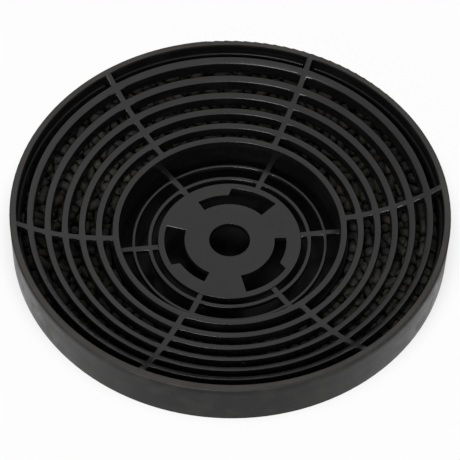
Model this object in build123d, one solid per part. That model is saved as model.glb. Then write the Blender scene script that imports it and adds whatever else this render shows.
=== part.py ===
from build123d import *
from math import asin, degrees, sqrt
import os

# Round charcoal cassette for a cooker hood, lying on its back with its dished front up.
# The origin is on the axis, in the plane that the back rests on. +Z runs up through the hub.
# All lengths are in millimetres and all angles in degrees.

# Overall size
overall_diameter = 175.0
overall_height = 37.0
side_wall_height = 20.0

# Rim and dished front grille
rim_land_width = 2.7
rim_corner_radius = 0.8
wall_foot_ease = 0.5
ring_count = 6
ring_width = 2.7
grille_depth = 4.2
dish_drop = 15.5
dish_level_inset = 4.1
edge_ease = 0.35

# Straight spokes of the grille and of the recess floor
spoke_count = 6
spoke_width = 2.6
spoke_depth = 2.7
first_spoke_angle = 8.0

# Recess in the middle of the front, and the rings of its floor
recess_diameter = 89.2
recess_wall = 2.0
floor_cavity = 9.0
floor_thickness = 1.9
floor_ring_outer_width = 1.5
floor_ring_inner_width = 1.8
floor_gap_inner = 2.4

# Hub disc with its hole and bayonet slots
hub_diameter = 58.2
hub_step = 0.5
hub_edge_ease = 0.25
hub_hole_diameter = 16.4
bayonet_count = 3
bayonet_margin = 2.7
bayonet_wide_width = 8.0
bayonet_narrow_width = 4.6
bayonet_wide_start = 46.0
bayonet_step_angle = 90.6
bayonet_narrow_end = 124.9
bayonet_step_slant = 2.5
bayonet_tongue_radius = 0.8

# Back cover, a tray pushed up inside the side wall
fit_clearance = 0.2
cover_thickness = 2.0
tray_wall = 1.2
tray_top_drop = 4.4
tray_top_ease = 0.5
tray_notch_margin = 1.25
tray_notch_depth = 2.6
seat_flange_thickness = 1.4
seat_flange_inset = 1.3
back_edge_land = 1.4
upstand_wall = 1.2
upstand_clearance = 1.2

# Snap bead on the tray wall and its groove in the side wall
snap_height = 0.5
snap_width = 1.6
snap_clearance = 0.2
snap_above_seat = 5.0

# Charcoal
fill_clearance = 0.3
fill_settling = 1.0
fill_shoulder_width = 3.0

# Places worked out from the sizes above: rim, rings and dish
outer_radius = overall_diameter / 2
rim_inner_radius = outer_radius - rim_land_width
wall_foot = overall_height - side_wall_height
recess_radius = recess_diameter / 2
recess_wall_outer = recess_radius + recess_wall
ring_pitch = (rim_inner_radius - recess_radius) / ring_count
ring_gap = ring_pitch - ring_width
level_radius = recess_radius - dish_level_inset
dish_reach = rim_inner_radius - level_radius
dish_rise = (dish_reach**2 - dish_level_inset**2 - dish_drop**2) / (2 * dish_drop)
dish_section_radius = sqrt(dish_reach**2 + dish_rise**2)
dish_centre_height = overall_height + dish_rise

# Recess floor and hub
floor_underside = cover_thickness + floor_cavity
floor_top = floor_underside + floor_thickness
hub_top = floor_top + hub_step
hub_radius = hub_diameter / 2
hub_hole_radius = hub_hole_diameter / 2
floor_rings_width = floor_gap_inner + floor_ring_inner_width + floor_ring_outer_width
floor_gap = (recess_radius - hub_radius - floor_rings_width) / 2
floor_ring_outer = recess_radius - floor_gap
floor_ring_inner = hub_radius + floor_gap_inner + floor_ring_inner_width
bayonet_wide = hub_radius - bayonet_margin
bayonet_inner = bayonet_wide - bayonet_wide_width
bayonet_narrow = bayonet_inner + bayonet_narrow_width

# Back cover and charcoal
tray_outer_radius = rim_inner_radius - fit_clearance
tray_inner_radius = tray_outer_radius - tray_wall
tray_top = overall_height - tray_top_drop
flange_underside = wall_foot - seat_flange_thickness
flange_radius = outer_radius - seat_flange_inset
base_disc_radius = recess_radius + ring_width
back_arc_run = tray_outer_radius - base_disc_radius
back_section_radius = (back_arc_run**2 + flange_underside**2) / (2 * flange_underside)
upstand_inner_radius = recess_wall_outer + fit_clearance
upstand_outer_radius = upstand_inner_radius + upstand_wall
snap_middle = wall_foot + snap_above_seat
fill_inner_radius = upstand_outer_radius + fill_clearance
fill_outer_radius = tray_inner_radius - fill_clearance

# How far the cutters run past the surfaces that they cut
bevel_run = 3 * edge_ease
window_depth = 2 * grille_depth
bar_depth = 3 * grille_depth
notch_run = 2 * tray_wall

# Half-plane through the first spoke, in which the turned sections are drawn
spoke_direction = Vector(1, 0, 0).rotate(Axis.Z, first_spoke_angle)
section_plane = Plane((0, 0, 0), spoke_direction, spoke_direction.cross(Vector(0, 0, 1)))


def dish_height(radius, depth=0.0):
    """Height of the front dish at a radius, or of the arc that lies that depth below it."""
    reach = radius - level_radius
    return dish_centre_height - sqrt((dish_section_radius + depth) ** 2 - reach**2)


def front_height(radius):
    """Height of the front's top surface, dish and flat rim land."""
    return min(dish_height(radius), overall_height)


def back_height(radius, depth=0.0):
    """Height of the back's outer face at a radius, or of the arc that depth inside it."""
    reach = max(radius - base_disc_radius, 0.0)
    return back_section_radius - sqrt((back_section_radius - depth) ** 2 - reach**2)


def arc_between(height, start, end, depth=0.0):
    """Section arc that follows a height function from one radius to another."""
    radii = (start, (start + end) / 2, end)
    return ThreePointArc(*[(radius, height(radius, depth)) for radius in radii])


def turned(*curves):
    """Solid of revolution of one closed section, drawn as radius and height."""
    section = Curve() + list(curves)
    return revolve(make_face(section_plane * section), Axis.Z)


def ease_line(radius, away, height):
    """Wall point of a gap's edge, and a point on its bevel carried on above the surface."""
    beside = radius + away * edge_ease
    wall_height = height(radius) - edge_ease
    slope = (height(beside) - wall_height) / edge_ease
    run = bevel_run / 2
    return (radius, wall_height), (radius + away * run, wall_height + slope * run)


def ring_window(gap_outer, gap_inner, foot, height, outer_eased=True, inner_eased=True):
    """Turned cutter for one ring gap that bevels the top edges on each side of it."""
    crown = height(gap_outer) + edge_ease
    outer_side = ease_line(gap_outer, 1, height) if outer_eased else ()
    inner_side = ease_line(gap_inner, -1, height) if inner_eased else ((gap_inner, crown),)
    outline = [(gap_inner, foot), (gap_outer, foot), *outer_side, (gap_outer, crown)]
    outline += reversed(inner_side)
    return turned(Polyline(*outline, close=True))


def spoke_section(top, depth):
    """Section across a spoke with bevelled top edges, its top drawn on narrower above."""
    half = spoke_width / 2
    foot = top - depth
    shoulder = top - edge_ease
    tip = half - bevel_run
    return Polyline(
        (-half, foot),
        (half, foot),
        (half, shoulder),
        (tip, shoulder + bevel_run),
        (-tip, shoulder + bevel_run),
        (-half, shoulder),
        close=True,
    )


def around_spokes(shape):
    """Copies of a shape that lies along +X, one in the direction of each spoke."""
    return [place * shape for place in PolarLocations(0, spoke_count, first_spoke_angle)]


def bead(radius, height, width):
    """Section of a snap bead whose foot lies on the radius, as a three-point line."""
    return [
        (radius, snap_middle - width / 2),
        (radius + height, snap_middle),
        (radius, snap_middle + width / 2),
    ]


# Front moulding as one turned section, with channels below the spokes between the rings
ring_outers = [rim_inner_radius - ring_gap - n * ring_pitch for n in range(ring_count)]
underside = []
for ring_outer in ring_outers:
    last = ring_outer == ring_outers[-1]
    ring_inner = recess_wall_outer if last else ring_outer - ring_width
    channel = arc_between(dish_height, ring_outer + ring_gap, ring_outer, spoke_depth)
    ring_foot = arc_between(dish_height, ring_outer, ring_inner, grille_depth)
    underside += [channel, Line(channel @ 1, ring_foot @ 0), ring_foot]
    if not last:
        ring_side = (ring_inner, dish_height(ring_inner, spoke_depth))
        underside.append(Line(ring_foot @ 1, ring_side))
dish_arc = arc_between(dish_height, rim_inner_radius, recess_radius + edge_ease)
rim_corner = outer_radius - rim_corner_radius, overall_height - rim_corner_radius
wall_line = Polyline(
    underside[0] @ 0,
    *reversed(bead(rim_inner_radius, snap_height, snap_width + 2 * snap_clearance)),
    (rim_inner_radius, wall_foot),
    (outer_radius - wall_foot_ease, wall_foot),
    (outer_radius, wall_foot + wall_foot_ease),
    (outer_radius, rim_corner[1]),
)
corner_arc = CenterArc(rim_corner, rim_corner_radius, 0, 90)
land_line = Line((rim_corner[0], overall_height), (rim_inner_radius, overall_height))
recess_line = Polyline(
    dish_arc @ 1,
    (recess_radius, dish_height(recess_radius) - edge_ease),
    (recess_radius, floor_top),
    (hub_radius, floor_top),
    (hub_radius, hub_top),
    (hub_hole_radius, hub_top),
    (hub_hole_radius, floor_underside),
    (recess_radius, floor_underside),
    (recess_radius, cover_thickness),
    (recess_wall_outer, cover_thickness),
    underside[-1] @ 1,
)
front = turned(wall_line, corner_arc, land_line, dish_arc, recess_line, *underside)

# Windows between the rings, stopped at the bevelled flanks of the dished spokes
spoke_plane = Plane((level_radius, 0, 0), x_dir=(0, 1, 0), z_dir=(1, 0, 0))
dish_axis = Axis((level_radius, 0, dish_centre_height), (0, -1, 0))
dish_bar = revolve(
    spoke_plane * make_face(spoke_section(dish_height(level_radius), bar_depth)),
    dish_axis,
    degrees(asin((outer_radius - level_radius) / dish_section_radius)),
)
dish_bars = around_spokes(dish_bar)
windows = [
    ring_window(
        ring_outer + ring_gap,
        ring_outer,
        dish_height(ring_outer, window_depth),
        front_height,
    )
    - dish_bars
    for ring_outer in ring_outers
]

# Windows between the rings of the recess floor
floor_bar = extrude(Plane.YZ * make_face(spoke_section(floor_top, hub_top)), recess_wall_outer)
floor_bars = around_spokes(floor_bar)
floor_gaps = [
    (recess_radius, floor_ring_outer, False, True),
    (floor_ring_outer - floor_ring_outer_width, floor_ring_inner, True, True),
    (floor_ring_inner - floor_ring_inner_width, hub_radius, True, False),
]
windows += [
    ring_window(outer, inner, cover_thickness, lambda radius: floor_top, *eased) - floor_bars
    for outer, inner, *eased in floor_gaps
]
front -= [piece for window in windows for piece in window.solids()]

# Bayonet slots, each a wide entry that steps down to a narrow track
slot_points = [
    (bayonet_inner, bayonet_wide_start),
    (bayonet_wide, bayonet_wide_start),
    (bayonet_wide, bayonet_step_angle - bayonet_step_slant / 2),
    (bayonet_narrow, bayonet_step_angle + bayonet_step_slant / 2),
    (bayonet_narrow, bayonet_narrow_end),
    (bayonet_inner, bayonet_narrow_end),
]
entry_start, entry_top, step_top, step_foot, track_top, track_end = [
    Vector(radius, 0, 0).rotate(Axis.Z, angle) for radius, angle in slot_points
]


def track_arc(start, end):
    """Arc about the axis that joins two points of the slot."""
    middle = ((start + end) / 2).normalized() * start.length
    return ThreePointArc(start, middle, end)


slot_outline = Curve() + [
    Line(entry_start, entry_top),
    track_arc(entry_top, step_top),
    Line(step_top, step_foot),
    track_arc(step_foot, track_top),
    Line(track_top, track_end),
    track_arc(track_end, entry_start),
]
slot_face = make_face(slot_outline)
tongue = slot_face.vertices().sort_by_distance(step_foot)[0]
slot_face = fillet(tongue, bayonet_tongue_radius)
slot = extrude(slot_face, overall_height)
front -= [place * slot for place in PolarLocations(0, bayonet_count)]

# Bevelled top edges of the hub disc, its hole and its slots
level_faces = front.faces().filter_by(Plane.XY)
hub_face = level_faces.sort_by(lambda face: abs(face.center().Z - hub_top))[0]
front = chamfer(hub_face.edges(), hub_edge_ease)

# Back cover as one turned section: base disc, dished back, seat flange and tray wall
upstand_top = dish_height(upstand_outer_radius, grille_depth) - upstand_clearance
back_outer_arc = arc_between(back_height, base_disc_radius, tray_outer_radius)
back_inner_arc = arc_between(
    back_height, tray_inner_radius, upstand_outer_radius, cover_thickness
)
cover_line = Polyline(
    back_outer_arc @ 1,
    (flange_radius, flange_underside),
    (flange_radius, wall_foot),
    (tray_outer_radius, wall_foot),
    *bead(tray_outer_radius, snap_height, snap_width),
    (tray_outer_radius, tray_top),
    (tray_inner_radius + tray_top_ease, tray_top),
    (tray_inner_radius, tray_top - tray_top_ease),
    back_inner_arc @ 0,
)
disc_line = Polyline(
    back_inner_arc @ 1,
    (upstand_outer_radius, upstand_top),
    (upstand_inner_radius, upstand_top),
    (upstand_inner_radius, cover_thickness),
    (0, cover_thickness),
    (0, 0),
    (base_disc_radius, 0),
)
cover = turned(back_outer_arc, cover_line, back_inner_arc, disc_line)

# Windows between the rings of the back, stopped at its spokes
back_outers = [
    tray_inner_radius - back_edge_land - n * ring_pitch for n in range(ring_count - 1)
]
back_bar = Pos(outer_radius / 2, 0, 0) * Box(outer_radius, spoke_width, 2 * tray_top)
back_bars = around_spokes(back_bar)
back_windows = [
    extrude(Circle(back_outer) - Circle(back_outer - ring_gap), tray_top) - back_bars
    for back_outer in back_outers
]
cover -= [piece for window in back_windows for piece in window.solids()]

# Notches in the tray wall below the spokes of the front
notch = Pos(tray_outer_radius, 0, tray_top) * Box(
    2 * notch_run, spoke_width + 2 * tray_notch_margin, 2 * tray_notch_depth
)
cover -= around_spokes(notch)

# Charcoal, one settled bed that rests on the back, level in the narrow corner below the rim
fill_depth = grille_depth + fill_settling
shoulder_radius = fill_outer_radius - fill_shoulder_width
fill_top = arc_between(dish_height, shoulder_radius, fill_inner_radius, fill_depth)
fill_foot = arc_between(back_height, fill_inner_radius, fill_outer_radius, cover_thickness)
shoulder_line = Polyline(
    fill_foot @ 1,
    (fill_outer_radius, dish_height(shoulder_radius, fill_depth)),
    fill_top @ 0,
)
charcoal = turned(fill_top, Line(fill_top @ 1, fill_foot @ 0), fill_foot, shoulder_line)

os.makedirs("parts", exist_ok=True)
export_step(front, "parts/front_grille.step")
export_step(cover, "parts/back_cover.step")
export_step(charcoal, "parts/charcoal_pellets.step")
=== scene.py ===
"""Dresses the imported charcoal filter: satin black mouldings, a bed of loose charcoal pellets and a
plain white studio. Lengths are in metres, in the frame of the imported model."""

import math

import bpy
import numpy as np
from mathutils import Matrix, Quaternion, Vector
from mathutils.bvhtree import BVHTree


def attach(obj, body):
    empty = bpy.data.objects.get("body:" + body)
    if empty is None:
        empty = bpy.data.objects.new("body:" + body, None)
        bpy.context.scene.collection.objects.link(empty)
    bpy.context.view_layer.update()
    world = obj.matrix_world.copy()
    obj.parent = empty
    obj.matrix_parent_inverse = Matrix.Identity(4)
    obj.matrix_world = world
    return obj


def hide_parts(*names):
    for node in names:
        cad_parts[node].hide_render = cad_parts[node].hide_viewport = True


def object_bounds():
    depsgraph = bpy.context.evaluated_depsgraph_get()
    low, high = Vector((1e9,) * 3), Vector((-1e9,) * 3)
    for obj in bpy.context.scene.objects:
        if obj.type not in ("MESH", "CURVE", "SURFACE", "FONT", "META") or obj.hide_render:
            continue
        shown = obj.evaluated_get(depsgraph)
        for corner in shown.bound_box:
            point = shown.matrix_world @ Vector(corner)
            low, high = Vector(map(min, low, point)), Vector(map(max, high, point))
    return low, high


bl_info = {
    "name": "Carbon Filter Dressing",
    "version": (1, 0, 0),
    "blender": (4, 5, 0),
    "location": "3D View > Sidebar > Filter",
    "description": "Gives the packed cooker hood filter its plastics, its charcoal and its studio",
    "category": "Object",
}

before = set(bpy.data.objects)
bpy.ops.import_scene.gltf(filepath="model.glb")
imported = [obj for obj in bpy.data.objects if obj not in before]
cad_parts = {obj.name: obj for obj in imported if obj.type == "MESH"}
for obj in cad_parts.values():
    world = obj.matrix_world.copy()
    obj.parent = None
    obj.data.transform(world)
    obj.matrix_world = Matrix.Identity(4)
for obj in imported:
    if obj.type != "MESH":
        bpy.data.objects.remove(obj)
CAD_BOX = [list(corner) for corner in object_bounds()]
MM = 0.001

# Places on the outer rim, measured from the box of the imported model
RIM_RADIUS = CAD_BOX[1][0]
RIM_TOP = CAD_BOX[1][2]
LAND_INSIDE = RIM_RADIUS - 3.5 * MM
WALL_INSIDE = RIM_RADIUS - 1.5 * MM
SHOULDER_FOOT = RIM_TOP - 4.5 * MM
SHOULDER_DEPTH = 0.85 * MM

REFRACTIVE_INDEX = 1.5
WHITE = (1.0, 1.0, 1.0, 1.0)
SENSOR_WIDTH_MM = 36.0
FLOOR_REACH = 3.0

# Spacing of the nodes in the shader editor
NODE_COLUMN = 190
NODE_ROW = 170


# Settings

class PlasticSettings(bpy.types.PropertyGroup):
    """Colour and surface of one moulded plastic."""

    colour: bpy.props.FloatVectorProperty(
        name="Colour",
        description="Colour of the plastic itself, without its gloss",
        subtype="COLOR",
        size=3,
        min=0.0,
        max=1.0,
        default=(0.0036, 0.0036, 0.0036),
    )
    # Paler brownish colour of the rim: rubbing wear and scuffs, and on the level land also a painted
    # grazing reflection
    rim_wear_sheen_colour: bpy.props.FloatVectorProperty(
        name="Rim colour",
        description="Colour of the plastic where handling has rubbed the rim pale",
        subtype="COLOR",
        size=3,
        min=0.0,
        max=1.0,
        default=(0.033, 0.0302, 0.0255),
    )
    dust: bpy.props.FloatVectorProperty(
        name="Dust",
        description="Colour of the thin dust on the upward faces",
        subtype="COLOR",
        size=3,
        min=0.0,
        max=1.0,
        default=(0.06, 0.06, 0.056),
    )
    roughness: bpy.props.FloatProperty(
        name="Roughness",
        description="How dull the moulded skin is",
        subtype="FACTOR",
        min=0.0,
        max=1.0,
        default=0.27,
    )
    gloss: bpy.props.FloatProperty(
        name="Gloss",
        description="Strength of the plastic's own reflection, 0.5 for clean plastic",
        subtype="FACTOR",
        min=0.0,
        max=1.0,
        default=0.47,
    )
    grain: bpy.props.FloatProperty(
        name="Grain",
        description="Size of the fine grain that the mould leaves",
        unit="LENGTH",
        min=0.00005,
        max=0.005,
        default=0.00035,
    )
    ripple: bpy.props.FloatProperty(
        name="Ripple",
        description="Distance between the shallow sink ripples of the skin",
        unit="LENGTH",
        min=0.001,
        max=0.1,
        default=0.016,
    )


class CharcoalSettings(bpy.types.PropertyGroup):
    """Shape, packing and colour of the charcoal pellets."""

    diameter: bpy.props.FloatProperty(
        name="Pellet diameter",
        description="Diameter of the extruded pellets",
        unit="LENGTH",
        min=0.001,
        max=0.006,
        default=0.0037,
    )
    shortest: bpy.props.FloatProperty(
        name="Shortest pellet",
        description="Length of the shortest broken pellets",
        unit="LENGTH",
        min=0.002,
        max=0.02,
        default=0.0042,
    )
    longest: bpy.props.FloatProperty(
        name="Longest pellet",
        description="Length of the longest pellets",
        unit="LENGTH",
        min=0.003,
        max=0.03,
        default=0.0095,
    )
    crown: bpy.props.FloatProperty(
        name="Crown",
        description="How far the highest pellets stand above the mean level of the bed",
        unit="LENGTH",
        min=0.0,
        max=0.0015,
        default=0.0007,
    )
    share: bpy.props.FloatProperty(
        name="Packing",
        description="Share of the bed's room that the pellets fill",
        subtype="FACTOR",
        min=0.1,
        max=0.75,
        default=0.7,
    )
    seed: bpy.props.IntProperty(
        name="Seed",
        description="Number that the scatter of the pellets starts from",
        min=0,
        default=7,
    )
    colour: bpy.props.FloatVectorProperty(
        name="Colour",
        description="Colour of freshly broken charcoal",
        subtype="COLOR",
        size=3,
        min=0.0,
        max=1.0,
        default=(0.0075, 0.0074, 0.007),
    )
    pale: bpy.props.FloatVectorProperty(
        name="Pale pellets",
        description="Colour of the palest pellets",
        subtype="COLOR",
        size=3,
        min=0.0,
        max=1.0,
        default=(0.056, 0.051, 0.042),
    )
    dust: bpy.props.FloatVectorProperty(
        name="Dust",
        description="Colour of the grey dust on the pellets",
        subtype="COLOR",
        size=3,
        min=0.0,
        max=1.0,
        default=(0.042, 0.0405, 0.036),
    )


class StudioSettings(bpy.types.PropertyGroup):
    """Camera, lights and backdrop."""

    lens: bpy.props.FloatProperty(
        name="Lens",
        description="Focal length in millimetres on a 36 mm wide frame",
        unit="CAMERA",
        min=20.0,
        max=400.0,
        default=165.05,
    )
    distance: bpy.props.FloatProperty(
        name="Camera distance",
        description="Distance from the camera to the point that it looks at",
        unit="LENGTH",
        min=0.3,
        max=3.0,
        default=0.85,
    )
    elevation: bpy.props.FloatProperty(
        name="Camera elevation",
        description="Height of the view above the horizon",
        subtype="ANGLE",
        min=0.0,
        max=math.pi / 2,
        default=math.radians(53.08),
    )
    roll: bpy.props.FloatProperty(
        name="Camera roll",
        description="Turn of the camera about its own line of sight",
        subtype="ANGLE",
        min=-math.pi,
        max=math.pi,
        default=math.radians(1.448),
    )
    aim: bpy.props.FloatVectorProperty(
        name="Aim",
        description="Point that the camera and the lamp look at",
        subtype="TRANSLATION",
        unit="LENGTH",
        size=3,
        default=(0.00007, 0.0, 0.01993),
    )
    key_place: bpy.props.FloatVectorProperty(
        name="Key place",
        description="Middle of the soft lamp at the front left",
        subtype="TRANSLATION",
        unit="LENGTH",
        size=3,
        default=(-0.3, -0.84, 0.64),
    )
    key_size: bpy.props.FloatProperty(
        name="Key size",
        description="Side of the square soft lamp",
        unit="LENGTH",
        min=0.01,
        max=2.0,
        default=0.45,
    )
    key_power: bpy.props.FloatProperty(
        name="Key power",
        description="Power of the soft lamp",
        unit="POWER",
        min=0.0,
        max=100.0,
        default=7.0,
    )
    fill_light: bpy.props.FloatProperty(
        name="Fill",
        description="Strength of the even light from all round",
        min=0.0,
        max=3.0,
        default=0.5,
    )


class FilterSettings(bpy.types.PropertyGroup):
    """All settings of the dressed filter."""

    grille: bpy.props.PointerProperty(
        type=PlasticSettings, name="Front grille", description="Plastic of the front grille"
    )
    cover: bpy.props.PointerProperty(
        type=PlasticSettings, name="Back cover", description="Plastic of the back cover"
    )
    charcoal: bpy.props.PointerProperty(
        type=CharcoalSettings, name="Charcoal", description="Loose charcoal pellets"
    )
    studio: bpy.props.PointerProperty(
        type=StudioSettings, name="Studio", description="Camera, lights and backdrop"
    )


# Nodes

def put(target, value):
    """Sets an input socket to a value, or joins it to another node's output socket."""
    if isinstance(value, bpy.types.NodeSocket):
        target.id_data.links.new(value, target)
    else:
        target.default_value = value


def feed(made, **values):
    """Feeds a node's inputs by their names, each with a value or another node's output."""
    for name, value in values.items():
        put(made.inputs[name.replace("_", " ")], value)


def node(tree, kind, place, **values):
    """Adds a node, sets its own properties by name, and feeds its inputs with the other values."""
    made = tree.nodes.new(kind)
    made.location = (place[0] * NODE_COLUMN, place[1] * -NODE_ROW)
    for name, value in values.items():
        if hasattr(made, name):
            setattr(made, name, value)
        else:
            feed(made, **{name: value})
    return made


def math_step(tree, place, operation, *values, clamp=False):
    """Output of one math node on sockets or numbers."""
    made = node(tree, "ShaderNodeMath", place, operation=operation, use_clamp=clamp)
    for target, value in zip(made.inputs, values):
        put(target, value)
    return made.outputs[0]


def ramp(tree, place, value, levels, results=(0.0, 1.0), kind="SMOOTHSTEP"):
    """Value that runs from the first result to the second between two levels of another."""
    made = node(
        tree,
        "ShaderNodeMapRange",
        place,
        interpolation_type=kind,
        Value=value,
        From_Min=levels[0],
        From_Max=levels[1],
        To_Min=results[0],
        To_Max=results[1],
    )
    return made.outputs[0]


def noise(tree, place, where, scale, detail, roughness):
    """Soft noise round 0.5, whose scale is its number of spots a metre."""
    made = node(
        tree,
        "ShaderNodeTexNoise",
        place,
        Vector=where,
        Scale=scale,
        Detail=detail,
        Roughness=roughness,
    )
    return made.outputs["Fac"]


def stretched_noise(tree, place, where, scales, detail, roughness):
    """Soft noise with a number of spots a metre of its own along each axis."""
    column, row = place
    stretched = node(tree, "ShaderNodeMapping", (column - 1, row), Vector=where, Scale=scales)
    return noise(tree, place, stretched.outputs[0], 1.0, detail, roughness)


def object_point(tree, place):
    """Point of the surface in the frame of the model."""
    return node(tree, "ShaderNodeTexCoord", place).outputs["Object"]


def upward_lean(tree, place):
    """How far the surface faces upward, from -1 to 1."""
    column, row = place
    facing = node(tree, "ShaderNodeNewGeometry", (column - 1, row))
    split = node(tree, "ShaderNodeSeparateXYZ", place, Vector=facing.outputs["Normal"])
    return split.outputs["Z"]


def mix_colour(tree, place, factor, plain, other):
    """Mix of a plain colour, which may be another node's, with a second colour."""
    if not isinstance(plain, bpy.types.NodeSocket):
        plain = (*plain, 1.0)
    made = node(
        tree,
        "ShaderNodeMix",
        place,
        data_type="RGBA",
        Factor=factor,
        A=plain,
        B=(*other, 1.0),
    )
    return made.outputs["Result"]


def mix_shader(tree, place, factor, first, second):
    """Mix of the shaders of two nodes."""
    made = node(tree, "ShaderNodeMixShader", place)
    for target, value in zip(made.inputs, (factor, first.outputs[0], second.outputs[0])):
        put(target, value)
    return made


def mirrored_ray(tree, place, path):
    """1 for light that the object mirrors or lets through, and 0 for other light."""
    glossy, clear = path.outputs["Is Glossy Ray"], path.outputs["Is Transmission Ray"]
    return math_step(tree, place, "ADD", glossy, clear, clamp=True)


# Shader node groups

def group_tree(name, inputs, outputs):
    """Starts a shader node group of number sockets: its tree, what it is given, and its end."""
    tree = bpy.data.node_groups.new(name, "ShaderNodeTree")
    for socket, default in inputs:
        made = tree.interface.new_socket(socket, in_out="INPUT", socket_type="NodeSocketFloat")
        made.default_value = default
    for socket in outputs:
        tree.interface.new_socket(socket, in_out="OUTPUT", socket_type="NodeSocketFloat")
    start = node(tree, "NodeGroupInput", (0, 0))
    end = node(tree, "NodeGroupOutput", (9, 0))
    return tree, start.outputs, end


def moulded_skin(name):
    """Group with the height and roughness of a moulded skin: fine grain on shallow ripples, and
    faint flow marks that change its dullness and its bloom."""
    grain_height = 0.12
    flow_scales = (90.0, 90.0, 190.0)
    flow_levels = (0.3, 0.7)
    dulling = (-0.06, 0.08)
    bloom_levels = (0.45, 0.75)
    tree, given, end = group_tree(
        name,
        (("Grain", 0.00035), ("Ripple", 0.016), ("Roughness", 0.27)),
        ("Height", "Roughness", "Bloom"),
    )
    where = object_point(tree, (0, 2))
    fine_scale = math_step(tree, (1, 0), "DIVIDE", 1.0, given["Grain"])
    fine = noise(tree, (2, 0), where, fine_scale, detail=3.0, roughness=0.6)
    wide_scale = math_step(tree, (1, 1), "DIVIDE", 1.0, given["Ripple"])
    wide = noise(tree, (2, 1), where, wide_scale, detail=2.0, roughness=0.5)
    flow = stretched_noise(tree, (2, 2), where, flow_scales, detail=3.0, roughness=0.55)
    fine_height = math_step(tree, (3, 0), "MULTIPLY", fine, grain_height)
    height = math_step(tree, (4, 0), "ADD", fine_height, wide)
    spread = ramp(tree, (3, 1), flow, flow_levels, dulling, "LINEAR")
    roughness = math_step(tree, (5, 1), "ADD", given["Roughness"], spread, clamp=True)
    bloom = ramp(tree, (4, 2), flow, bloom_levels)
    feed(end, Height=height, Roughness=roughness, Bloom=bloom)
    return tree


def settled_dust(name):
    """Group with a mask of dust that settles on upward faces in soft patches."""
    upward_levels = (-0.2, 0.9)
    patch_levels = (0.38, 0.68)
    tree, given, end = group_tree(name, (("Patch", 0.01), ("Cover", 0.5)), ("Mask",))
    where = object_point(tree, (0, 2))
    scale = math_step(tree, (1, 0), "DIVIDE", 1.0, given["Patch"])
    patches = noise(tree, (2, 0), where, scale, detail=5.0, roughness=0.7)
    patchy = ramp(tree, (3, 0), patches, patch_levels)
    upward = ramp(tree, (3, 1), upward_lean(tree, (2, 1)), upward_levels, kind="LINEAR")
    both = math_step(tree, (4, 0), "MULTIPLY", patchy, upward)
    feed(end, Mask=math_step(tree, (5, 0), "MULTIPLY", both, given["Cover"], clamp=True))
    return tree


def rim_wear_sheen_group(name):
    """Group for the outer rim: a mask of the level land, which is painted paler for rubbing wear and
    also as a painted grazing reflection, one of the corner beside it, scuffs down the wall, and the
    height of the soft shoulder by which the wall turns into the land."""
    level_lean = (0.8, 0.98)
    land_depth = (-0.5 * MM, -0.1 * MM)
    corner_depth = (-1.6 * MM, -0.7 * MM)
    land_wear_sheen_scale = 55.0
    land_wear_sheen_levels = (0.3, 0.7)
    land_wear_sheen_strength = (0.45, 1.0)
    least_lean = -0.5
    scuff_scales = (120.0, 120.0, 150.0)
    scuff_levels = (0.42, 0.68)
    shoulder_power = 3.0
    tree, given, end = group_tree(
        name,
        (
            ("Land inside", LAND_INSIDE),
            ("Wall inside", WALL_INSIDE),
            ("Shoulder foot", SHOULDER_FOOT),
            ("Shoulder depth", SHOULDER_DEPTH),
            ("Top", RIM_TOP),
        ),
        ("Land", "Corner", "Scuffs", "Shoulder"),
    )
    where = object_point(tree, (0, 2))
    split = node(tree, "ShaderNodeSeparateXYZ", (1, 2), Vector=where).outputs
    flat = node(tree, "ShaderNodeCombineXYZ", (2, 2), X=split["X"], Y=split["Y"]).outputs[0]
    radius = node(tree, "ShaderNodeVectorMath", (3, 2), operation="LENGTH", Vector=flat)
    radius = radius.outputs["Value"]
    lean = upward_lean(tree, (2, 4))

    on_land = math_step(tree, (4, 2), "GREATER_THAN", radius, given["Land inside"])
    level = ramp(tree, (4, 1), lean, level_lean)
    above_top = math_step(tree, (4, 0), "SUBTRACT", split["Z"], given["Top"])
    at_top = ramp(tree, (5, 0), above_top, land_depth)
    turning = ramp(tree, (5, 1), above_top, corner_depth)
    # Uneven mask of the level land: rubbing wear, and also a painted grazing reflection
    land_wear_sheen_noise = noise(tree, (4, 3), where, land_wear_sheen_scale, detail=5.0, roughness=0.65)
    uneven = ramp(tree, (5, 3), land_wear_sheen_noise, land_wear_sheen_levels, land_wear_sheen_strength)
    land = math_step(tree, (5, 2), "MULTIPLY", on_land, level)
    land = math_step(tree, (6, 2), "MULTIPLY", land, at_top)
    land = math_step(tree, (7, 2), "MULTIPLY", land, uneven)
    corner = math_step(tree, (6, 1), "MULTIPLY", on_land, turning)

    on_wall = math_step(tree, (4, 5), "GREATER_THAN", radius, given["Wall inside"])
    outward = math_step(tree, (4, 6), "GREATER_THAN", lean, least_lean)
    outside = math_step(tree, (5, 5), "MULTIPLY", on_wall, outward)
    smears = stretched_noise(tree, (4, 7), where, scuff_scales, detail=3.0, roughness=0.55)
    patches = ramp(tree, (5, 7), smears, scuff_levels)
    scuffs = math_step(tree, (6, 7), "MULTIPLY", outside, patches)

    shoulder_levels = (given["Shoulder foot"], given["Top"])
    rise = ramp(tree, (4, 8), split["Z"], shoulder_levels, kind="LINEAR")
    bend = math_step(tree, (5, 8), "POWER", rise, shoulder_power)
    left = math_step(tree, (6, 8), "SUBTRACT", 1.0, bend)
    height = math_step(tree, (7, 8), "MULTIPLY", left, given["Shoulder depth"])
    shoulder = math_step(tree, (8, 8), "MULTIPLY", height, outside)
    feed(end, Land=land, Corner=corner, Scuffs=scuffs, Shoulder=shoulder)
    return tree


GROUP_BUILDERS = {
    "Moulded skin": moulded_skin,
    "Settled dust": settled_dust,
    "Rim wear and sheen": rim_wear_sheen_group,
}


def use_group(tree, name, place, **values):
    """Places a node group, which is built at its first use, and feeds it."""
    shared = bpy.data.node_groups.get(name) or GROUP_BUILDERS[name](name)
    return node(tree, "ShaderNodeGroup", place, node_tree=shared, **values)


# Materials

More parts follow.
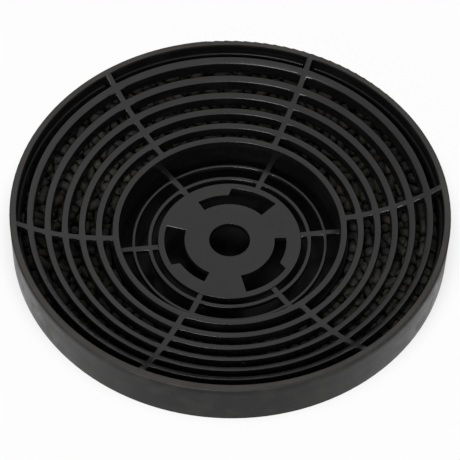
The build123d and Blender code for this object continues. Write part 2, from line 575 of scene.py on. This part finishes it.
def fresh_material(name):
    """New material with its Principled shader and output."""
    material = bpy.data.materials.new(name)
    material.use_nodes = True
    tree = material.node_tree
    tree.nodes.clear()
    shader = node(tree, "ShaderNodeBsdfPrincipled", (6, 0), IOR=REFRACTIVE_INDEX)
    node(tree, "ShaderNodeOutputMaterial", (8, 0), Surface=shader.outputs[0])
    return material, tree, shader


def plastic_material(name, settings):
    """Satin black moulded plastic, with dust on its upward faces and wear on its rim, and a painted
    grazing reflection on the level rim land.
    """
    dust_patch = 30 * MM
    dust_cover = 0.05
    scuff_strength = 0.4
    wear_roughness = 0.3
    skin_strength = 0.25
    skin_depth = 0.12 * MM
    bloom_gain = 1.7
    bloom_colour = [value * bloom_gain for value in settings.colour]
    material, tree, shader = fresh_material(name)
    skin = use_group(
        tree,
        "Moulded skin",
        (1, 0),
        Grain=settings.grain,
        Ripple=settings.ripple,
        Roughness=settings.roughness,
    ).outputs
    dust = use_group(tree, "Settled dust", (1, 2), Patch=dust_patch, Cover=dust_cover)
    rim = use_group(tree, "Rim wear and sheen", (1, 4)).outputs
    scuffed = math_step(tree, (2, 5), "MULTIPLY", rim["Scuffs"], scuff_strength)
    # Mask of the wear and the scuffs, which on the level land also carries a painted grazing
    # reflection
    wear_and_sheen = math_step(tree, (3, 5), "MAXIMUM", rim["Land"], scuffed)
    colour = mix_colour(tree, (3, 0), skin["Bloom"], settings.colour, bloom_colour)
    colour = mix_colour(tree, (4, 0), dust.outputs["Mask"], colour, settings.dust)
    colour = mix_colour(tree, (5, 0), wear_and_sheen, colour, settings.rim_wear_sheen_colour)
    worn = math_step(tree, (3, 3), "MAXIMUM", wear_and_sheen, rim["Corner"])
    roughness = math_step(
        tree, (4, 3), "MULTIPLY_ADD", worn, wear_roughness, skin["Roughness"], clamp=True
    )
    shoulder = node(
        tree, "ShaderNodeBump", (4, 4), Strength=1.0, Distance=1.0, Height=rim["Shoulder"]
    )
    bump = node(
        tree,
        "ShaderNodeBump",
        (5, 2),
        Strength=skin_strength,
        Distance=skin_depth,
        Height=skin["Height"],
        Normal=shoulder.outputs[0],
    )
    feed(shader, Base_Color=colour, Roughness=roughness, Normal=bump.outputs[0])
    feed(shader, Specular_IOR_Level=settings.gloss)
    return material


def cover_material(name, settings):
    """The same plastic, whose gloss a film of charcoal dust hides on level faces."""
    film_levels = (0.45, 0.95)
    film_gloss = 0.06
    coat_dulling = 1.5
    material = plastic_material(name, settings)
    tree = material.node_tree
    film = ramp(tree, (3, 6), upward_lean(tree, (2, 6)), film_levels)
    feed(
        tree.nodes["Principled BSDF"],
        Coat_Weight=math_step(tree, (4, 6), "SUBTRACT", 1.0, film),
        Coat_Roughness=coat_dulling * settings.roughness,
        Specular_IOR_Level=film_gloss,
    )
    return material


def charcoal_material(name, settings):
    """Dull charcoal with fine pits, a tone of its own for each pellet, and grey dust."""
    dust_patch = 2 * MM
    dust_cover = 0.7
    pit_scale = 2600.0
    pit_strength = 0.6
    pit_depth = 0.1 * MM
    dulling = (0.6, 0.9)
    gloss = 0.25
    dark_share = 0.7
    dark_colour = [value * dark_share for value in settings.colour]
    material, tree, shader = fresh_material(name)
    where = object_point(tree, (0, 1))
    tone = node(tree, "ShaderNodeAttribute", (1, 0), attribute_name="tone").outputs["Fac"]
    dust = use_group(tree, "Settled dust", (1, 1), Patch=dust_patch, Cover=dust_cover)
    pits = noise(tree, (1, 3), where, pit_scale, detail=4.0, roughness=0.65)
    colour = mix_colour(tree, (3, 0), tone, dark_colour, settings.pale)
    colour = mix_colour(tree, (4, 0), dust.outputs["Mask"], colour, settings.dust)
    roughness = ramp(tree, (3, 2), pits, (0.0, 1.0), dulling, "LINEAR")
    bump = node(
        tree, "ShaderNodeBump", (4, 3), Strength=pit_strength, Distance=pit_depth, Height=pits
    )
    feed(shader, Base_Color=colour, Roughness=roughness, Normal=bump.outputs[0])
    feed(shader, Specular_IOR_Level=gloss)
    return material


def give_material(thing, material):
    """Puts one material in the object's only slot."""
    thing.data.materials.clear()
    thing.data.materials.append(material)


def soft_edges_tree(name):
    """Geometry nodes that shade a mesh smooth, apart from its square edges."""
    weld_distance = 0.001 * MM
    square_angle = math.radians(74)
    tree = bpy.data.node_groups.new(name, "GeometryNodeTree")
    for way in ("INPUT", "OUTPUT"):
        tree.interface.new_socket("Geometry", in_out=way, socket_type="NodeSocketGeometry")
    start = node(tree, "NodeGroupInput", (0, 0))
    welded = node(
        tree,
        "GeometryNodeMergeByDistance",
        (1, 0),
        Geometry=start.outputs[0],
        Distance=weld_distance,
    )
    angle = node(tree, "GeometryNodeInputMeshEdgeAngle", (2, 2)).outputs["Unsigned Angle"]
    square = node(
        tree, "FunctionNodeCompare", (3, 2), operation="GREATER_THAN", A=angle, B=square_angle
    )
    shaded = welded
    for column, domain, smooth in ((2, "FACE", True), (3, "EDGE", True), (4, "EDGE", False)):
        shaded = node(
            tree,
            "GeometryNodeSetShadeSmooth",
            (column, 0),
            domain=domain,
            Geometry=shaded.outputs[0],
            Shade_Smooth=smooth,
        )
    feed(shaded, Selection=square.outputs[0])
    node(tree, "NodeGroupOutput", (5, 0), Geometry=shaded.outputs[0])
    return tree


def soften_edges(thing):
    """Lets light run round the narrow bevels, and keeps the square edges sharp."""
    name = "Soft moulded edges"
    soft = thing.modifiers.new("Soft edges", "NODES")
    soft.node_group = bpy.data.node_groups.get(name) or soft_edges_tree(name)
    normals = thing.modifiers.new("Even normals", "WEIGHTED_NORMAL")
    normals.mode = "FACE_AREA"
    normals.weight = 80
    normals.keep_sharp = True


# The charcoal bed

class BedRoom:
    """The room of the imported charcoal: two radii, and the lowest and highest height between them.

    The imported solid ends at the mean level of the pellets, and their crowns stand above it."""

    probe_count = 40
    probe_inset = 0.1 * MM
    probe_bearing = 0.3

    def __init__(self, solid, crown):
        places = [vertex.co.copy() for vertex in solid.data.vertices]
        faces = [tuple(face.vertices) for face in solid.data.polygons]
        surface = BVHTree.FromPolygons(places, faces)
        reach = [math.hypot(place.x, place.y) for place in places]
        self.inner = min(reach)
        self.outer = max(reach)
        self.radii = np.linspace(
            self.inner + self.probe_inset, self.outer - self.probe_inset, self.probe_count
        )
        along = Vector((math.cos(self.probe_bearing), math.sin(self.probe_bearing), 0.0))
        up = Vector((0.0, 0.0, 1.0))
        spots = [along * radius for radius in self.radii]
        self.low = np.array([surface.ray_cast(spot - up, up)[0].z for spot in spots])
        self.high = np.array([surface.ray_cast(spot + up, -up)[0].z for spot in spots]) + crown
        self.low_lean = np.hypot(1.0, np.gradient(self.low, self.radii))
        self.high_lean = np.hypot(1.0, np.gradient(self.high, self.radii))

    def volume(self):
        """Volume between the two surfaces."""
        rings = 2 * math.pi * self.radii * (self.high - self.low)
        return float(np.sum((rings[1:] + rings[:-1]) / 2 * np.diff(self.radii)))

    def hold(self, points, margin):
        """Moves points so that balls of that radius round them stay in the room."""
        radius = np.hypot(points[..., 0], points[..., 1])
        kept = np.clip(radius, self.inner + margin, self.outer - margin)
        points[..., :2] *= (kept / radius)[..., None]
        low = np.interp(kept, self.radii, self.low + margin * self.low_lean)
        high = np.interp(kept, self.radii, self.high - margin * self.high_lean)
        points[..., 2] = np.clip(points[..., 2], low, high)


def near_pairs(centres, reach):
    """Numbers of the pellets whose reaches overlap, as two rows."""
    gaps = centres[:, None] - centres[None]
    close = np.sqrt((gaps ** 2).sum(axis=2)) < reach[:, None] + reach[None]
    return np.nonzero(np.triu(close, 1))


def nearest_places(start, run, other_start, other_run):
    """Where two sets of straight cores come nearest each other, from 0 to 1 along each."""
    least_cross = 1e-6
    between = start - other_start
    run_run = (run * run).sum(axis=1)
    other_other = (other_run * other_run).sum(axis=1)
    run_other = (run * other_run).sum(axis=1)
    run_between = (run * between).sum(axis=1)
    other_between = (other_run * between).sum(axis=1)
    product = run_run * other_other
    cross = np.maximum(product - run_other ** 2, least_cross * product)
    along = np.clip((run_other * other_between - other_other * run_between) / cross, 0, 1)
    across = np.clip((run_other * along + other_between) / other_other, 0, 1)
    along = np.clip((run_other * across - run_between) / run_run, 0, 1)
    return along, across


def add_up(numbers, rows, count):
    """Sums rows that belong to the same numbered pellet."""
    return np.stack([np.bincount(numbers, rows[:, axis], count) for axis in range(3)], axis=1)


def keep_length(ends, cores):
    """Brings the two ends of each core back to the core's own length, about its middle."""
    middle = ends.mean(axis=1)
    run = ends[:, 1] - ends[:, 0]
    run *= (cores / np.linalg.norm(run, axis=1))[:, None] / 2
    ends[:, 0] = middle - run
    ends[:, 1] = middle + run


def scatter_cores(room, cores, rng):
    """Ends of pellet cores that lie at random places in the room, most of them nearly level."""
    dip_spread = 0.35
    count = len(cores)
    reach = np.sqrt(rng.uniform(room.inner ** 2, room.outer ** 2, count))
    turn = rng.uniform(0, 2 * math.pi, count)
    middle = np.stack([reach * np.cos(turn), reach * np.sin(turn), np.zeros(count)], axis=1)
    low = np.interp(reach, room.radii, room.low)
    high = np.interp(reach, room.radii, room.high)
    middle[:, 2] = rng.uniform(low, high)
    heading = rng.uniform(0, 2 * math.pi, count)
    dip = rng.normal(0, dip_spread, count)
    axis = np.stack([np.cos(heading), np.sin(heading), dip], axis=1)
    axis /= np.linalg.norm(axis, axis=1)[:, None]
    half = axis * cores[:, None] / 2
    return np.stack([middle - half, middle + half], axis=1)


def settle_pellets(room, cores, radius, rng):
    """Scatters pellets in the room and pushes them apart until they lie against each other."""
    rounds = 240
    rounds_between_searches = 8
    search_margin = 1.15
    push_share = 0.45
    first_sink = 0.02 * MM
    least_distance = 1e-7
    ends = scatter_cores(room, cores, rng)
    room.hold(ends, radius)
    for step in range(rounds):
        if step % rounds_between_searches == 0:
            reach = cores / 2 + radius * search_margin
            first, second = near_pairs(ends.mean(axis=1), reach)
        run = ends[:, 1] - ends[:, 0]
        along, across = nearest_places(ends[first, 0], run[first], ends[second, 0], run[second])
        gap = ends[first, 0] + run[first] * along[:, None]
        gap -= ends[second, 0] + run[second] * across[:, None]
        distance = np.maximum(np.linalg.norm(gap, axis=1), least_distance)
        overlap = np.clip(2 * radius - distance, 0, None)
        push = gap / distance[:, None] * overlap[:, None] * push_share
        for numbers, place, way in ((first, along, 1), (second, across, -1)):
            evened = (1 - place) ** 2 + place ** 2
            for end, share in ((0, 1 - place), (1, place)):
                rows = push * (way * share / evened)[:, None]
                ends[:, end] += add_up(numbers, rows, len(cores))
        ends[:, :, 2] -= first_sink * (1 - step / rounds)
        keep_length(ends, cores)
        room.hold(ends, radius)
    keep_length(ends, cores)
    return ends


def pellet_rings(ends, lengths, radius, sides, rng):
    """Corners of each pellet: four rings of points from one worn, slanted end to the other."""
    steep = 0.8
    girth = (0.93, 1.0)
    most_slant = 0.16
    most_chip = 0.05
    end_inset = 0.16
    # Width, place back from the tip and share of the chips, for the two rings of an end
    end_rings = ((0.74, 0.0, 1.0), (1.0, 0.24, 0.2))
    count = len(lengths)
    middle = ends.mean(axis=1)
    axis = ends[:, 1] - ends[:, 0]
    axis /= np.linalg.norm(axis, axis=1)[:, None]
    helper = np.where(np.abs(axis[:, 2:]) > steep, [[1.0, 0.0, 0.0]], [[0.0, 0.0, 1.0]])
    left = np.cross(axis, helper)
    left /= np.linalg.norm(left, axis=1)[:, None]
    front = np.cross(axis, left)
    turn = np.arange(sides) * 2 * math.pi / sides + rng.uniform(0, 2 * math.pi, (count, 1))
    own = radius * rng.uniform(*girth, (count, 1))
    rings = []
    for way in (-1, 1):
        slant = rng.uniform(-most_slant, most_slant, (count, 2))
        tilt = slant[:, :1] * np.cos(turn) + slant[:, 1:] * np.sin(turn)
        chip = rng.uniform(-most_chip, most_chip, (count, sides))
        for width, back, chipped in end_rings[::-way]:
            out = own * (width + chip * chipped)
            inset = radius * (back + end_inset + tilt * width + chip)
            depth = way * (lengths[:, None] / 2 - inset)
            spot = left[:, None] * (out * np.cos(turn))[..., None]
            spot = spot + front[:, None] * (out * np.sin(turn))[..., None]
            rings.append(middle[:, None] + spot + axis[:, None] * depth[..., None])
    return np.stack(rings, axis=1)


def pellet_mesh(name, ends, lengths, radius, rng):
    """One mesh of ten-sided pellets, each with a tone of its own between dark and pale."""
    sides = 10
    tone_shape = (1.2, 4.2)
    places = pellet_rings(ends, lengths, radius, sides, rng)
    count, rings = places.shape[:2]
    size = rings * sides
    ring = np.arange(sides)
    after = (ring + 1) % sides
    faces = []
    for low in range(0, size - sides, sides):
        high = low + sides
        faces += np.stack([low + ring, low + after, high + after, high + ring], axis=1).tolist()
    caps = [ring[::-1].tolist(), (size - sides + ring).tolist()]
    polygons = []
    for base in range(0, count * size, size):
        polygons += [[base + corner for corner in face] for face in faces + caps]
    mesh = bpy.data.meshes.new(name)
    mesh.from_pydata(places.reshape(-1, 3).tolist(), [], polygons)
    smooth = np.zeros((count, len(faces) + len(caps)), dtype=bool)
    smooth[:, sides:2 * sides] = True
    mesh.polygons.foreach_set("use_smooth", smooth.ravel())
    tone = mesh.attributes.new("tone", "FLOAT", "POINT")
    tones = np.repeat(rng.beta(*tone_shape, count), size)
    tone.data.foreach_set("value", tones.astype(np.float32))
    mesh.update()
    return mesh


# Studio

def white_world(strength):
    """World that lights evenly, shows as plain white, and mirrors as a bright ceiling that grows
    brighter towards +X."""
    ceiling_heights = (-0.1, 0.7)
    ceiling_strengths = (0.4, 0.94)
    window_strength = 0.2
    world = bpy.data.worlds.new("White studio")
    world.use_nodes = True
    tree = world.node_tree
    tree.nodes.clear()
    where = node(tree, "ShaderNodeTexCoord", (0, 2)).outputs["Generated"]
    split = node(tree, "ShaderNodeSeparateXYZ", (1, 2), Vector=where).outputs
    ceiling = ramp(tree, (2, 2), split["Z"], ceiling_heights, ceiling_strengths)
    window = math_step(tree, (2, 3), "MULTIPLY_ADD", split["X"], window_strength, ceiling)
    light = node(tree, "ShaderNodeBackground", (5, 0), Color=WHITE, Strength=strength)
    shown = node(tree, "ShaderNodeBackground", (5, 1), Color=WHITE, Strength=1.0)
    studio = node(tree, "ShaderNodeBackground", (5, 2), Color=window, Strength=1.0)
    path = node(tree, "ShaderNodeLightPath", (0, 0))
    seen = mix_shader(tree, (6, 0), path.outputs["Is Camera Ray"], light, shown)
    mirrored = mix_shader(tree, (7, 0), mirrored_ray(tree, (3, 0), path), seen, studio)
    node(tree, "ShaderNodeOutputWorld", (8, 0), Surface=mirrored.outputs[0])
    return world


def floor_material():
    """Pale matt floor that shows as the white backdrop, and is left in shadow under the object.

    The object mirrors it brighter ahead and at the two sides, where the panels of the studio
    stand. To a camera below the floor it is clear, so that the back of the filter shows."""
    matt_colour = (0.5, 0.5, 0.5, 1.0)
    shade_middle = (0.0, 0.018, 0.0)
    shade_edge = (0.072, 0.099)
    backdrop_strength = (0.0, 0.97)
    panel_reach = (0.03, 0.1)
    panel_strengths = (0.1, 0.55)
    ahead_reach = (-0.02, 0.012)
    ahead_strengths = (1.0, 0.15)
    material = bpy.data.materials.new("White floor")
    material.use_nodes = True
    tree = material.node_tree
    tree.nodes.clear()
    where = object_point(tree, (0, 2))
    shade = node(tree, "ShaderNodeVectorMath", (1, 2), operation="DISTANCE")
    put(shade.inputs[0], where)
    put(shade.inputs[1], shade_middle)
    beyond = ramp(tree, (2, 2), shade.outputs["Value"], shade_edge, backdrop_strength)
    split = node(tree, "ShaderNodeSeparateXYZ", (1, 3), Vector=where).outputs
    aside = math_step(tree, (2, 3), "ABSOLUTE", split["X"])
    panels = ramp(tree, (3, 3), aside, panel_reach, panel_strengths)
    ahead = ramp(tree, (3, 4), split["Y"], ahead_reach, ahead_strengths)
    panels = math_step(tree, (4, 3), "MULTIPLY", panels, ahead)
    path = node(tree, "ShaderNodeLightPath", (0, 0))
    mirrored = mirrored_ray(tree, (1, 0), path)
    camera = path.outputs["Is Camera Ray"]
    shown = math_step(tree, (4, 0), "MULTIPLY_ADD", mirrored, panels, camera, clamp=True)
    share = math_step(tree, (5, 0), "MULTIPLY", shown, beyond)
    matt = node(tree, "ShaderNodeBsdfDiffuse", (6, 0), Color=matt_colour)
    glow = node(tree, "ShaderNodeEmission", (6, 1), Strength=1.0)
    floor = mix_shader(tree, (7, 0), share, matt, glow)
    back = node(tree, "ShaderNodeNewGeometry", (5, 3)).outputs["Backfacing"]
    below = math_step(tree, (6, 3), "MAXIMUM", back, path.outputs["Transparent Depth"])
    clear = node(tree, "ShaderNodeBsdfTransparent", (7, 2))
    pane = mix_shader(tree, (8, 0), below, floor, clear)
    node(tree, "ShaderNodeOutputMaterial", (9, 0), Surface=pane.outputs[0])
    return material


def set_camera(scene, studio):
    """Adds the camera at its distance and elevation in front of the aim."""
    away = Vector((0.0, -math.cos(studio.elevation), math.sin(studio.elevation)))
    data = bpy.data.cameras.new("Camera")
    data.sensor_width = SENSOR_WIDTH_MM
    data.lens = studio.lens
    camera = bpy.data.objects.new("Camera", data)
    turn = away.to_track_quat("Z", "Y") @ Quaternion((0.0, 0.0, 1.0), studio.roll)
    place = Matrix.Translation(Vector(studio.aim) + away * studio.distance)
    camera.matrix_world = place @ turn.to_matrix().to_4x4()
    scene.collection.objects.link(camera)
    scene.camera = camera


def set_key_lamp(scene, studio):
    """Adds the square soft lamp, which points at the aim."""
    data = bpy.data.lights.new("Key", "AREA")
    data.shape = "SQUARE"
    data.size = studio.key_size
    data.energy = studio.key_power
    lamp = bpy.data.objects.new("Key", data)
    place = Vector(studio.key_place)
    turn = (place - Vector(studio.aim)).to_track_quat("Z", "Y").to_matrix().to_4x4()
    lamp.matrix_world = Matrix.Translation(place) @ turn
    scene.collection.objects.link(lamp)


def lay_floor(scene):
    """Adds the floor, one square that reaches far past the camera's view."""
    mesh = bpy.data.meshes.new("floor")
    signs = ((-1, -1), (1, -1), (1, 1), (-1, 1))
    corners = [(x * FLOOR_REACH, y * FLOOR_REACH, 0) for x, y in signs]
    mesh.from_pydata(corners, [], [(0, 1, 2, 3)])
    floor = bpy.data.objects.new("floor", mesh)
    scene.collection.objects.link(floor)
    give_material(floor, floor_material())


# Operators

class DressFrontGrille(bpy.types.Operator):
    """Gives the front grille its satin black plastic"""

    bl_idname = "carbon_filter.front_grille"
    bl_label = "Front grille"

    def execute(self, context):
        settings = context.scene.carbon_filter.grille
        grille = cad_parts["front_grille"]
        give_material(grille, plastic_material("Grille plastic", settings))
        soften_edges(grille)
        return {"FINISHED"}


class DressBackCover(bpy.types.Operator):
    """Gives the back cover its satin black plastic"""

    bl_idname = "carbon_filter.back_cover"
    bl_label = "Back cover"

    def execute(self, context):
        settings = context.scene.carbon_filter.cover
        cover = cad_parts["back_cover"]
        give_material(cover, cover_material("Cover plastic", settings))
        soften_edges(cover)
        return {"FINISHED"}


class PourCharcoal(bpy.types.Operator):
    """Fills the room of the charcoal solid with loose extruded pellets"""

    bl_idname = "carbon_filter.charcoal"
    bl_label = "Charcoal pellets"

    def execute(self, context):
        # The commonest length against the mean, and what the worn ends take off a core in radii
        usual_share = 0.92
        ends_in_radii = 1.3
        settings = context.scene.carbon_filter.charcoal
        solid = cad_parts["charcoal_pellets"]
        room = BedRoom(solid, settings.crown)
        rng = np.random.default_rng(settings.seed)
        radius = settings.diameter / 2
        mean = (settings.shortest + settings.longest) / 2
        usual = mean * usual_share
        count = int(room.volume() * settings.share / (math.pi * radius ** 2 * mean))
        lengths = rng.triangular(settings.shortest, usual, settings.longest, count)
        ends = settle_pellets(room, lengths - ends_in_radii * radius, radius, rng)
        mesh = pellet_mesh("charcoal_bed", ends, lengths, radius, rng)
        bed = bpy.data.objects.new("charcoal_bed", mesh)
        context.scene.collection.objects.link(bed)
        give_material(bed, charcoal_material("Charcoal", settings))
        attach(bed, "root")
        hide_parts("charcoal_pellets")
        return {"FINISHED"}


class SetStage(bpy.types.Operator):
    """Lays the white floor and sets up the lights and the camera"""

    bl_idname = "carbon_filter.stage"
    bl_label = "Stage"

    def execute(self, context):
        scene = context.scene
        studio = scene.carbon_filter.studio
        set_camera(scene, studio)
        lay_floor(scene)
        scene.world = white_world(studio.fill_light)
        set_key_lamp(scene, studio)
        scene.view_settings.view_transform = "Standard"
        return {"FINISHED"}


class FilterPanel(bpy.types.Panel):
    """Lists the pieces of the dressed filter and their settings"""

    bl_idname = "VIEW3D_PT_carbon_filter"
    bl_label = "Carbon filter"
    bl_space_type = "VIEW_3D"
    bl_region_type = "UI"
    bl_category = "Filter"

    def draw(self, context):
        settings = context.scene.carbon_filter
        for operator, name in PANEL_ROWS:
            box = self.layout.box()
            box.operator(operator.bl_idname)
            group = getattr(settings, name)
            for prop in type(group).__annotations__:
                box.prop(group, prop)


PANEL_ROWS = (
    (DressFrontGrille, "grille"),
    (DressBackCover, "cover"),
    (PourCharcoal, "charcoal"),
    (SetStage, "studio"),
)
CLASSES = (
    PlasticSettings,
    CharcoalSettings,
    StudioSettings,
    FilterSettings,
    DressFrontGrille,
    DressBackCover,
    PourCharcoal,
    SetStage,
    FilterPanel,
)


def register():
    """Registers the classes and hangs the settings on the scene."""
    for item in CLASSES:
        bpy.utils.register_class(item)
    bpy.types.Scene.carbon_filter = bpy.props.PointerProperty(type=FilterSettings)


def unregister():
    """Takes the settings and the classes away again."""
    del bpy.types.Scene.carbon_filter
    for item in reversed(CLASSES):
        bpy.utils.unregister_class(item)


def main():
    """Registers the add-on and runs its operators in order."""
    register()
    bpy.ops.carbon_filter.stage()
    bpy.ops.carbon_filter.front_grille()
    bpy.ops.carbon_filter.back_cover()
    bpy.ops.carbon_filter.charcoal()


if __name__ == "__main__":
    main()
